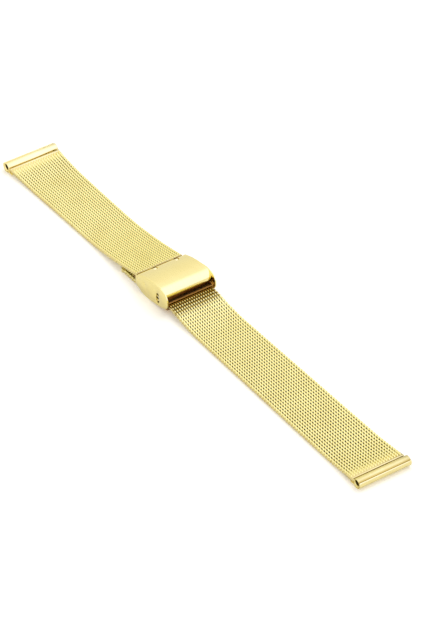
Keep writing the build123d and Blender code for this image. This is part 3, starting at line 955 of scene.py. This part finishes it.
class ClaspCover:
    """The hinged cover: an arched, buffed lid between two side walls, with a rolled front hem."""

    def __init__(self, palette: Palette) -> None:
        """Keep the palette and the sizes."""
        self.sizes = CoverSizes()
        self.palette = palette

    def lid_profile(self) -> tuple[list[Point2], list[Point2], list[Point2]]:
        """Return the arch, its outward directions, and the front curve with its hem."""
        s = self.sizes
        run = s.crest[0] - s.rear[0]
        rise = s.crest[1] - s.rear[1]
        radius = (run ** 2 + rise ** 2) / (2 * rise)
        reach = math.asin(run / radius)
        notch = math.asin((s.crest[0] - s.notch_x) / radius)
        turns = np.concatenate([np.linspace(-reach, -notch, 4), np.linspace(-notch, 0, 20)[1:]])
        arch = [(s.crest[0] + radius * math.sin(a), s.crest[1] - radius * (1 - math.cos(a)))
                for a in turns]
        arch_out = [(math.sin(a), math.cos(a)) for a in turns]
        count = s.front_steps + 1
        front = [(s.crest[0] + s.front_radius * math.sin(a),
                  s.crest[1] - s.front_radius * (1 - math.cos(a)))
                 for a in np.radians(np.linspace(0, s.front_angle, count)[1:])]
        last = math.radians(s.front_angle)
        hem = (front[-1][0] - s.hem_radius * math.sin(last),
               front[-1][1] - s.hem_radius * math.cos(last))
        for a in np.radians(np.linspace(s.front_angle, s.front_angle + s.hem_turn, count)[1:]):
            front.append((hem[0] + s.hem_radius * math.sin(a),
                          hem[1] + s.hem_radius * math.cos(a)))
        return arch, arch_out, front

    def ear_outline(self, start: Point2) -> list[Point2]:
        """Return the wall's round outline in front of the lid, from the crest downwards."""
        shoulder, front, corner = self.sizes.ear
        run, drop = shoulder[0] - start[0], start[1] - shoulder[1]
        radius = (run ** 2 + drop ** 2) / (2 * drop)
        turn = math.degrees(math.asin(run / radius))
        upper = arc((start[0], start[1] - radius), radius, 90, 90 - turn, 10)[1:]
        return upper + arc_through(shoulder, front, corner, 18)[1:]

    def wall(self, side: Side, joint: list[Point2]) -> tuple[np.ndarray, list]:
        """Build one side wall's outer skin, with its window, pin hole and pressed dimple.

        Args:
            side: which side of the band.
            joint: (x, z) points where the wall meets the lid's shoulder, from rear to front.

        Returns:
            Vertices and faces of an open skin.
        """
        s = self.sizes
        lower = round_corners([*s.lower_outline, joint[0]])
        outline = joint + self.ear_outline(joint[-1]) + lower[1:-1]
        x, z, tall, wide = s.window
        half = wide / 2
        straight = (tall - wide) / 2
        window = (arc((x, z + straight), half, 0, 180, 13)
                  + arc((x, z - straight), half, 180, 360, 13))
        pin = arc(s.pin_hole[:2], s.pin_hole[2], 0, 360, 21)[:-1]
        dimple = arc(s.dimple[:2], s.dimple[2], 0, 360, 21)[:-1]
        loops = [outline, window, pin, dimple]
        points: list[Point2] = []
        edges: list[tuple[int, int]] = []
        for loop in loops:
            start = len(points)
            points.extend(loop)
            edges.extend((start + i, start + (i + 1) % len(loop)) for i in range(len(loop)))
        corners = [Vector(p) for p in points]
        flat, _, triangles, _, _, _ = delaunay_2d_cdt(corners, edges, [], 1, TINY)
        kept = []
        for triangle in triangles:
            middle = np.mean([flat[i][:] for i in triangle], axis=0)
            if inside(middle, outline) and not any(inside(middle, hole) for hole in loops[1:]):
                kept.append(tuple(triangle))
        y = side.value * s.half_width
        verts = [(p[0], y, p[1]) for p in flat]
        ring = [min(range(len(flat)), key=lambda k: math.dist(flat[k], q)) for q in dimple]
        for share in s.dimple_shares:
            depth = s.dimple[3] * math.sqrt(1 - share ** 2)
            start = len(verts)
            for q in dimple:
                verts.append((s.dimple[0] + share * (q[0] - s.dimple[0]), y - side.value * depth,
                              s.dimple[1] + share * (q[1] - s.dimple[1])))
            new = list(range(start, start + len(dimple)))
            for i in range(len(dimple)):
                j = (i + 1) % len(dimple)
                kept.append((ring[i], ring[j], new[j], new[i]))
            ring = new
        kept.append(tuple(ring))
        return np.array(verts), kept

    def places_across(self) -> tuple[list[float], list[float]]:
        """Return where the faces of the lid, and of the nose, meet across the band."""
        s = self.sizes
        flat_half = s.half_width - s.shoulder
        nose_half = s.nose_half_width / (s.half_width - s.sharp_shoulder) * flat_half
        wanted = sorted({-flat_half, flat_half, -nose_half, nose_half,
                         *np.linspace(*s.flat_places).round(3),
                         *(e + d * s.notch_half for e in s.eye_places for d in (-1, 1))})
        places = [v for i, v in enumerate(wanted)
                  if i == 0 or v - wanted[i - 1] > s.least_run or
                  any(abs(abs(v - e) - s.notch_half) < TINY for e in s.eye_places)]
        return places, [y for y in places if abs(y) <= nose_half + TINY]

    def lid(self, arch: list[Point2], arch_out: list[Point2],
            places: list[float]) -> tuple[tuple[np.ndarray, list], list[Point2]]:
        """Build the lid's skin with its shoulders, notched at its rear round the eyes.

        Args:
            arch: (x, z) points of the lid, from rear to front.
            arch_out: outward direction at each of them.
            places: where the faces meet across the flat of the lid.

        Returns:
            Vertices and faces, and the (x, z) points where the walls join.
        """
        s = self.sizes
        flat_half = s.half_width - s.shoulder
        arc_steps = [math.radians(a) for a in np.linspace(0, 90, s.shoulder_steps)]
        verts, faces, joint = [], [], []
        for place, out in zip(arch, arch_out):
            eased = min(1.0, max(0.0, (place[0] - s.shoulder_end) / (s.crest[0] - s.shoulder_end)))
            shoulder = s.shoulder + (s.sharp_shoulder - s.shoulder) * eased ** 2 * (3 - 2 * eased)
            half = s.half_width - shoulder
            turns = [(half + shoulder * math.cos(a), shoulder * (1 - math.sin(a)))
                     for a in arc_steps[:-1]]
            across = [(-y, depth) for y, depth in turns]
            across += [(y * half / flat_half, 0.0) for y in places]
            across += list(reversed(turns))
            joint.append((place[0] - shoulder * out[0], place[1] - shoulder * out[1]))
            for y, depth in across:
                verts.append((place[0] - depth * out[0], y, place[1] - depth * out[1]))
        width = len(across)
        for i in range(len(arch) - 1):
            for j in range(width - 1):
                middle = (across[j][0] + across[j + 1][0]) / 2 * flat_half / half
                notched = arch[i + 1][0] <= s.notch_x + s.notch_slack and any(
                    abs(middle - e) < s.notch_half for e in s.eye_places)
                if not notched:
                    a = i * width + j
                    faces.append((a, a + 1, a + width + 1, a + width))
        return (np.array(verts), faces), joint

    def nose(self, rows: list[Point2], places: list[float]) -> tuple[np.ndarray, list]:
        """Build the skin of the lid's front, which narrows down to its rolled hem.

        Args:
            rows: (x, z) points of the front, from the crest down.
            places: where the faces meet across the band.

        Returns:
            Vertices and faces.
        """
        s = self.sizes
        verts, faces = [], []
        for i, place in enumerate(rows):
            angle = min(s.front_angle, i * s.front_angle / s.front_steps)
            share = max(0.0, (angle - s.taper_angle) / (s.front_angle - s.taper_angle))
            half = s.nose_half_width - (s.nose_half_width - s.hem_half_width) * share ** 2
            for y in places:
                verts.append((place[0], y * half / places[-1], place[1]))
        count = len(places)
        for i in range(len(rows) - 1):
            for j in range(count - 1):
                a = i * count + j
                faces.append((a, a + 1, a + count + 1, a + count))
        return np.array(verts), faces

    def build(self) -> None:
        """Build the cover as one skin, and thicken it into a bent sheet."""
        s = self.sizes
        arch, arch_out, front = self.lid_profile()
        places, nose_places = self.places_across()
        lid, joint = self.lid(arch, arch_out, places)
        nose = self.nose([arch[-1], *front], nose_places)
        verts, faces = join([lid, nose, *(self.wall(side, joint) for side in Side)])
        verts = verts + np.array([CLASP_X, 0, 0])
        mesh = bpy.data.meshes.new("clasp_arched_cover")
        mesh.from_pydata((verts * MM).tolist(), [], faces)
        work = bmesh.new()
        work.from_mesh(mesh)
        bmesh.ops.remove_doubles(work, verts=work.verts, dist=2 * TINY)
        bmesh.ops.recalc_face_normals(work, faces=work.faces)
        crest = min(work.faces, key=lambda f: (f.calc_center_median() - Vector(
            (CLASP_X * MM, 0, s.crest[1] * MM))).length)
        if crest.normal.z < 0:
            bmesh.ops.reverse_faces(work, faces=work.faces)
        work.to_mesh(mesh)
        work.free()
        piece = add_object("clasp_arched_cover", mesh)
        thicken = piece.modifiers.new("sheet", "SOLIDIFY")
        thicken.thickness = s.sheet * MM
        thicken.offset = -1.0
        thicken.use_even_offset = True
        broken = piece.modifiers.new("broken_edges", "BEVEL")
        broken.width = s.broken_edge * MM
        broken.segments = 2
        broken.angle_limit = math.radians(s.bevel_degrees)
        bake_modifiers(piece)
        soften(piece.data, s.smooth_degrees)
        self.palette.dress(piece, BUFFED_SHEET)
        place_piece(piece, "cover", "polished", "clasp_cover")


def inside(point: np.ndarray, loop: list[Point2]) -> bool:
    """Return whether a flat point lies inside a closed loop."""
    found = False
    for (x1, z1), (x2, z2) in zip(loop, loop[1:] + loop[:1]):
        if (z1 > point[1]) != (z2 > point[1]):
            if point[0] < (x2 - x1) * (point[1] - z1) / (z2 - z1) + x1:
                found = not found
    return found


def bake_modifiers(obj: bpy.types.Object) -> None:
    """Replace an object's mesh by what its modifiers make of it."""
    view = bpy.context.evaluated_depsgraph_get()
    made = bpy.data.meshes.new_from_object(obj.evaluated_get(view))
    obj.modifiers.clear()
    obj.data = made


class SmallFitting:
    """A rigid CAD piece, redrawn with its edges broken as a real one has them."""

    FLAT_ANGLE = math.radians(1.0)
    SHARP_ANGLE = math.radians(50.0)
    SMOOTH_DEGREES = 35.0

    def __init__(self, node: str, body: str, slot: str, finish: GoldFinish,
                 edge: float = 0.05, eye_finish: GoldFinish | None = None) -> None:
        """Keep what the fitting is.

        Args:
            node: the CAD node.
            body: the body that carries it.
            slot: the record's material slot.
            finish: its finish.
            edge: size of the broken edges, in millimetres.
            eye_finish: the finish of its eyes on the hinge pin, a bright gold kept apart from the
                painted shade on the rest of the clip, or None where it has none.
        """
        self.node = node
        self.body = body
        self.slot = slot
        self.finish = finish
        self.edge = edge
        self.eye_finish = eye_finish

    def build(self, palette: Palette, source: bpy.types.Object) -> bpy.types.Object:
        """Build the fitting from the CAD node's own shape.

        Args:
            palette: the materials.
            source: the CAD node's object, which stays as it is.

        Returns:
            The new piece.
        """
        work = bmesh.new()
        work.from_mesh(source.data)
        bmesh.ops.remove_doubles(work, verts=work.verts, dist=TINY)
        bmesh.ops.dissolve_limit(work, angle_limit=self.FLAT_ANGLE, verts=work.verts,
                                 edges=work.edges)
        sharp = [e for e in work.edges
                 if len(e.link_faces) == 2 and e.calc_face_angle(0.0) > self.SHARP_ANGLE]
        bmesh.ops.bevel(work, geom=sharp, offset=self.edge * MM, offset_type="OFFSET", segments=2,
                        profile=0.5, affect="EDGES", clamp_overlap=True)
        mesh = bpy.data.meshes.new(f"{self.node}_fitting")
        work.to_mesh(mesh)
        work.free()
        soften(mesh, self.SMOOTH_DEGREES)
        piece = add_object(f"{self.node}_fitting", mesh)
        palette.dress(piece, self.finish, *([self.eye_finish] if self.eye_finish else []))
        # The eyes get the second finish, a bright gold set apart from the painted shade on the rest
        # of the clip
        if self.eye_finish:
            for face in mesh.polygons:
                across = face.center.y / MM
                face.material_index = int(any(abs(across - eye) < EYE_HALF for eye in EYE_PLACES))
        place_piece(piece, self.body, self.slot, self.node)
        return piece


@dataclass
class CatchSizes:
    """The catch bar and the openings in the slider's cheeks, from the middle of the clasp."""

    bar: Point2 = (3.85, 3.45)
    bar_radius: float = 0.45
    head: Point2 = (3.42, 3.05)
    head_half: Point2 = (0.8, 1.0)
    head_y: tuple[float, float] = (7.95, 8.33)
    drill: Point2 = (3.55, 3.12)
    drill_radius: float = 0.42
    drill_depth: float = 0.34
    opening: Point2 = (3.5, 3.0)
    opening_half: Point2 = (0.85, 1.75)
    oval_bluntness: float = 0.75
    head_round: float = 0.06
    bar_round: float = 0.02
    cut_margin: tuple[float, float] = (0.1, 0.2)
    cut_edge: float = 0.01
    steps: int = 32


class CatchBar:
    """The catch bar, with an oval drilled head that shows in the window of each wall."""

    def __init__(self, palette: Palette) -> None:
        """Keep the palette and the sizes."""
        self.sizes = CatchSizes()
        self.palette = palette

    def oval(self, centre: Point2, half: Point2) -> list[Point2]:
        """Return a rounded box outline, longer upwards than along the band."""
        points = []
        for turn in np.linspace(0, 2 * math.pi, self.sizes.steps, endpoint=False):
            c, d = (math.copysign(abs(v) ** self.sizes.oval_bluntness, v)
                    for v in (math.cos(turn), math.sin(turn)))
            points.append((CLASP_X + centre[0] + half[0] * c, centre[1] + half[1] * d))
        return points

    def open_cheeks(self, slider: bpy.types.Object) -> None:
        """Cut the opening for the head through both cheeks of the slider's visual piece."""
        s = self.sizes
        for side in Side:
            ends = sorted((side.value * (s.head_y[0] - s.cut_margin[0]),
                           side.value * (s.head_y[1] + s.cut_margin[1])))
            shape = prism(self.oval(s.opening, s.opening_half), *ends, s.cut_edge)
            cutter = mesh_object("cheek_cutter", *shape)
            cut = slider.modifiers.new("opening", "BOOLEAN")
            cut.object = cutter
            cut.operation = "DIFFERENCE"
            cut.solver = "EXACT"
            bake_modifiers(slider)
            bpy.data.objects.remove(cutter)

    def build(self) -> None:
        """Build the bar with its two heads."""
        s = self.sizes
        bar = [(CLASP_X + x, z) for x, z in arc(s.bar, s.bar_radius, 0, 360, 25)[:-1]]
        parts = [prism(bar, -s.head_y[0], s.head_y[0], s.bar_round)]
        tall = s.head_y[1] - s.head_y[0]
        for side in Side:
            outer = np.array(self.oval(s.head, s.head_half))
            middle = np.array([CLASP_X + s.drill[0], s.drill[1]])
            turn = np.array(arc((0, 0), 1.0, 0, 360, s.steps + 1)[:-1])
            hole = middle + s.drill_radius * turn
            stations = ((outer, 0.0), (outer, tall - s.head_round),
                        (shrink(outer, s.head_round), tall), (hole, tall),
                        (hole, tall - s.drill_depth))
            rings = []
            for flat, reach in stations:
                y = np.full(len(flat), side.value * (s.head_y[0] + reach))
                rings.append(np.stack([flat[:, 0], y, flat[:, 1]], axis=1))
            parts.append(closed_tube(np.array(rings)))
        verts, faces = join(parts)
        slots = [0] * len(parts[0][1])
        # The last faces of a head are the bore's wall, the hidden end and the bore's floor
        # The bore's wall and floor take the second slot, painted dark for the shade inside the hole
        for _, head in parts[1:]:
            slots += [0] * (len(head) - s.steps - 2) + [1] * s.steps + [0, 1]
        piece = mesh_object("catch_bar_with_heads", verts, faces, slots=slots)
        self.palette.dress(piece, STEEL_BAR, SHADED_BORE)
        place_piece(piece, "slider", "pins", "catch_bar")


# ---------------------------------------------------------------------------
# Studio
# ---------------------------------------------------------------------------
@dataclass
class StudioSizes:
    """Camera and lights. Lengths are metres."""

    target: tuple[float, float, float] = (0.0033, 0.00185, 0.0)
    azimuth: float = 55.2
    elevation: float = 38.4
    distance: float = 1.3
    focal_px: float = 4450.0
    sensor_mm: float = 36.0
    lacquer: str = "#EBEFF4"
    shade: str = "#95866A"
    mirrored_lacquer: str = "#D8D8D4"
    mirrored_glow: float = 0.24
    room_low: float = 0.855
    room_high: float = 1.07
    room_soft: float = 0.85
    room_span: tuple[float, float] = (-0.1, 0.6)
    table_half: float = 3.0
    lamp_direction: tuple[float, float, float] = (-0.2, 0.35, 0.91)
    lamp_distance: float = 0.9
    lamp_size: float = 0.6
    lamp_radiance: float = 2.3
    diffuser_direction: tuple[float, float, float] = (0.632, 0.4475, 0.632)
    diffuser_core: float = 30.0
    diffuser_rim: float = 97.0
    diffuser_gain: float = 1.15
    diffuser_tone: str = "#9AA4FF"


class Studio:
    """White table, soft light and the camera."""

    def __init__(self) -> None:
        """Keep the sizes."""
        self.sizes = StudioSizes()

    def camera(self) -> None:
        """Place the camera at the photograph's viewing angle."""
        s = self.sizes
        azimuth, elevation = math.radians(s.azimuth), math.radians(s.elevation)
        right = Vector((math.cos(azimuth), math.sin(azimuth), 0))
        forward = Vector((-math.sin(azimuth) * math.cos(elevation),
                          math.cos(azimuth) * math.cos(elevation), -math.sin(elevation)))
        up = right.cross(forward)
        data = bpy.data.cameras.new("studio_camera")
        data.sensor_fit = "VERTICAL"
        data.sensor_height = s.sensor_mm
        data.lens = s.focal_px / IMAGE_HEIGHT * s.sensor_mm
        data.clip_end = 20
        camera = add_object("studio_camera", data)
        turn = Matrix((right, up, -forward)).transposed().to_4x4()
        camera.matrix_world = Matrix.Translation(Vector(s.target) - forward * s.distance) @ turn
        bpy.context.scene.camera = camera

    def floor(self) -> None:
        """Lay a white table top, whose camera view stays white but keeps the band's shadow."""
        s = self.sizes
        half = s.table_half
        corners = [(-half, -half, 0), (half, -half, 0), (half, half, 0), (-half, half, 0)]
        mesh = bpy.data.meshes.new("table_top")
        mesh.from_pydata(corners, [], [(0, 1, 2, 3)])
        table = add_object("table_top", mesh)
        material = bpy.data.materials.new("white_table_lacquer")
        material.use_nodes = True
        tree = material.node_tree
        tree.nodes.clear()
        path = add_node(tree, "ShaderNodeLightPath")
        # Seen directly, shade falls away to warm brown, as light that the gold throws on a table
        seen = add_node(tree, "ShaderNodeBsdfDiffuse", {"Color": hex_linear(s.lacquer)})
        warm = add_node(tree, "ShaderNodeEmission",
                        {"Color": hex_linear(s.shade), "Strength": 1.0})
        direct = add_node(tree, "ShaderNodeAddShader", None,
                          {0: seen.outputs[0], 1: warm.outputs[0]})
        plain = add_node(tree, "ShaderNodeBsdfDiffuse", {"Color": hex_linear(s.mirrored_lacquer)})
        mirror = add_node(tree, "ShaderNodeEmission",
                          {"Color": hex_linear(WHITE), "Strength": s.mirrored_glow})
        lit = add_node(tree, "ShaderNodeAddShader", None,
                       {0: plain.outputs[0], 1: mirror.outputs[0]})
        other = add_node(tree, "ShaderNodeMixShader", None,
                         {"Fac": path.outputs["Is Glossy Ray"], 1: plain.outputs[0],
                          2: lit.outputs[0]})
        shown = add_node(tree, "ShaderNodeMixShader", None,
                         {"Fac": path.outputs["Is Camera Ray"], 1: other.outputs[0],
                          2: direct.outputs[0]})
        add_node(tree, "ShaderNodeOutputMaterial", None, {"Surface": shown.outputs[0]})
        mesh.materials.append(material)

    def world(self) -> None:
        """Surround the band with a plain white room, a little darker towards the horizon."""
        world = bpy.data.worlds.new("white_room")
        bpy.context.scene.world = world
        world.use_nodes = True
        tree = world.node_tree
        tree.nodes.clear()
        s = self.sizes
        path = add_node(tree, "ShaderNodeLightPath")
        place = add_node(tree, "ShaderNodeTexCoord")
        split = add_node(tree, "ShaderNodeSeparateXYZ", None,
                         {"Vector": place.outputs["Generated"]})
        height = add_node(tree, "ShaderNodeMapRange",
                          {"From Min": s.room_span[0], "From Max": s.room_span[1],
                           "To Min": s.room_low, "To Max": s.room_high},
                          {"Value": split.outputs["Z"]})
        # The metal mirrors a wide cloth diffuser overhead, bright in its middle and soft at its rim
        facing = add_node(tree, "ShaderNodeVectorMath",
                          {"operation": "DOT_PRODUCT",
                           1: Vector(s.diffuser_direction).normalized()},
                          {0: place.outputs["Generated"]})
        cloth = add_node(tree, "ShaderNodeMapRange",
                         {"interpolation_type": "SMOOTHSTEP",
                          "From Min": math.cos(math.radians(s.diffuser_rim)),
                          "From Max": math.cos(math.radians(s.diffuser_core)), "To Min": 0.0,
                          "To Max": s.diffuser_gain}, {"Value": facing.outputs["Value"]})
        room = add_node(tree, "ShaderNodeBackground", {"Color": hex_linear(WHITE)},
                        {"Strength": height.outputs["Result"]})
        cool = add_node(tree, "ShaderNodeBackground", {"Color": hex_linear(s.diffuser_tone)},
                        {"Strength": cloth.outputs["Result"]})
        metal = add_node(tree, "ShaderNodeAddShader", None,
                         {0: room.outputs[0], 1: cool.outputs[0]})
        soft, white = (add_node(tree, "ShaderNodeBackground",
                                {"Color": hex_linear(WHITE), "Strength": strength})
                       for strength in (s.room_soft, 1.0))
        mirrored = add_node(tree, "ShaderNodeMath", {"operation": "MAXIMUM"},
                            {0: path.outputs["Is Glossy Ray"],
                             1: path.outputs["Is Transmission Ray"]})
        first = add_node(tree, "ShaderNodeMixShader", None,
                         {"Fac": mirrored.outputs[0], 1: soft.outputs[0], 2: metal.outputs[0]})
        second = add_node(tree, "ShaderNodeMixShader", None,
                          {"Fac": path.outputs["Is Camera Ray"], 1: first.outputs[0],
                           2: white.outputs[0]})
        add_node(tree, "ShaderNodeOutputWorld", None, {"Surface": second.outputs[0]})

    def lamp(self) -> None:
        """Hang a soft square lamp that faces the band, and lights the table but isn't mirrored."""
        s = self.sizes
        data = bpy.data.lights.new("overhead_softbox", "AREA")
        data.shape = "SQUARE"
        data.size = s.lamp_size
        data.energy = s.lamp_radiance * math.pi * s.lamp_size ** 2
        lamp = add_object("overhead_softbox", data)
        lamp.visible_glossy = False
        to = Vector(s.lamp_direction).normalized()
        lamp.location = to * s.lamp_distance
        lamp.rotation_euler = to.to_track_quat("Z", "Y").to_euler()

    def build(self) -> None:
        """Set up the whole studio."""
        bpy.context.scene.view_settings.view_transform = "Standard"
        self.camera()
        self.floor()
        self.world()
        self.lamp()


# ---------------------------------------------------------------------------
# The band
# ---------------------------------------------------------------------------
def short_strap() -> StrapSizes:
    """Return the short strap's sizes, from its lug end to the clasp."""
    rise_x, bend_x, clip_x = -44.15, -31.15, -20.1
    ends = [-SEAM_X, *np.linspace(-LAST_BEND_X, rise_x, 4).tolist(), bend_x, clip_x]
    sections = [(f"short_strap_mesh_{6 - i}", f"short_strap_{6 - i}", ends[i], ends[i + 1])
                for i in range(6)]
    knots = [(-SEAM_X, SEAM_Z, 0), (-LAST_BEND_X, FLAT_Z, 3), (rise_x, FLAT_Z, 5),
             (bend_x, 2.13, 5), (clip_x, 4.15, 0)]
    return StrapSizes(width=short_width, knots=knots, pitch=1.0, sections=sections,
                      soldered_x=-SEAM_X, bare_start=1.45, bare_end=0.72, clamped=True,
                      seam_shade=0.1)


def long_strap() -> StrapSizes:
    """Return the long strap's sizes, from its loose tongue to its lug end."""
    root_x, tongue_x, exit_x, flat_x = -28.05, -20.15, -3.85, 8.05
    ends = [exit_x, *np.linspace(flat_x, LAST_BEND_X, 7).tolist(), SEAM_X]
    sections = [("tongue_mesh", "tongue", root_x, tongue_x),
                ("channel_mesh", "long_strap_in_clasp", tongue_x, exit_x)]
    sections += [(f"long_strap_mesh_{i + 1}", f"long_strap_{i + 1}", ends[i], ends[i + 1])
                 for i in range(8)]
    knots = [(root_x, FLAT_Z, 0), (tongue_x, FLAT_Z, 1.0), (exit_x, 2.6, 1.4),
             (flat_x, FLAT_Z, 5), (LAST_BEND_X, FLAT_Z, 3), (SEAM_X, SEAM_Z, 0)]
    return StrapSizes(width=long_width, knots=knots, pitch=1.2, sections=sections,
                      soldered_x=SEAM_X, bare_end=1.5)


@dataclass
class TongueSizes:
    """The tongue's cap: its plan, and the (z, inset) places of its rounded side."""

    tip: float = -29.55
    root: float = -28.07
    half_width: float = 7.9
    corner: float = 0.95
    profile: tuple[Point2, ...] = ((0.10, 0.12), (0.13, 0.04), (0.22, 0.0), (1.18, 0.0),
                                   (1.27, 0.04), (1.30, 0.12))
    corner_steps: int = 9
    smooth_degrees: float = 45.0


class TongueCap:
    """The closed end of the long strap's loose tongue, ground round at its corners."""

    def __init__(self, palette: Palette) -> None:
        """Keep the palette and the sizes."""
        self.sizes = TongueSizes()
        self.palette = palette

    def build(self) -> None:
        """Build the cap as a flat bar with rounded corners and edges."""
        s = self.sizes
        x, y = s.tip + s.corner, s.half_width - s.corner
        base = np.array([(s.root, -s.half_width), (s.root, s.half_width),
                         *arc((x, y), s.corner, 90, 180, s.corner_steps),
                         *arc((x, -y), s.corner, 180, 270, s.corner_steps)])
        rings = []
        for z, inset in s.profile:
            flat = shrink(base, inset) if inset else base
            rings.append(np.stack([flat[:, 0], flat[:, 1], np.full(len(flat), z)], axis=1))
        piece = mesh_object("tongue_ground_cap", *closed_tube(np.array(rings)), s.smooth_degrees)
        self.palette.dress(piece, GROUND_EDGE)
        place_piece(piece, "tongue", "polished", "tongue_tip_cap")


def main() -> None:
    """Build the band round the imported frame, then the studio."""
    logging.basicConfig(level=logging.INFO, format="%(message)s")
    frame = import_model()
    palette = Palette()
    weave = WeaveSizes()
    for sizes in (short_strap(), long_strap()):
        WovenStrap(sizes, weave, palette).build()
    TongueCap(palette).build()
    LugEnd("short", -LUG_X, -1.0, (-SEAM_X, SEAM_Z), "short_strap_6", LIT_BUFFED_TUBE,
           LugEndSizes(gap=0.04, sheet=0.28), palette).build()
    LugEnd("long", LUG_X, 1.0, (SEAM_X, SEAM_Z), "long_strap_8", LINISHED_TUBE, LugEndSizes(),
           palette).build()
    ClaspCover(palette).build()
    fittings = (
        SmallFitting("slider_frame", "slider", "brushed", SHADED_CLASP_PLATE),
        SmallFitting("hook_plate", "hook", "brushed", SHADED_CLASP_PLATE),
        SmallFitting("lock_lever", "lever", "brushed", SHADED_CLASP_PLATE),
        SmallFitting("short_strap_clip", "short_strap_1", "brushed", SHADED_CLASP_PLATE,
                     eye_finish=TURNED_PIN),
        SmallFitting("cover_hinge_pin", "cover", "pins", TURNED_PIN, edge=0.06),
        SmallFitting("lock_lever_pin", "slider", "pins", TURNED_PIN, edge=0.04),
    )
    made = {fitting.node: fitting.build(palette, frame["nodes"][fitting.node])
            for fitting in fittings}
    catch = CatchBar(palette)
    catch.open_cheeks(made["slider_frame"])
    catch.build()
    Studio().build()


if __name__ == "__main__":
    main()
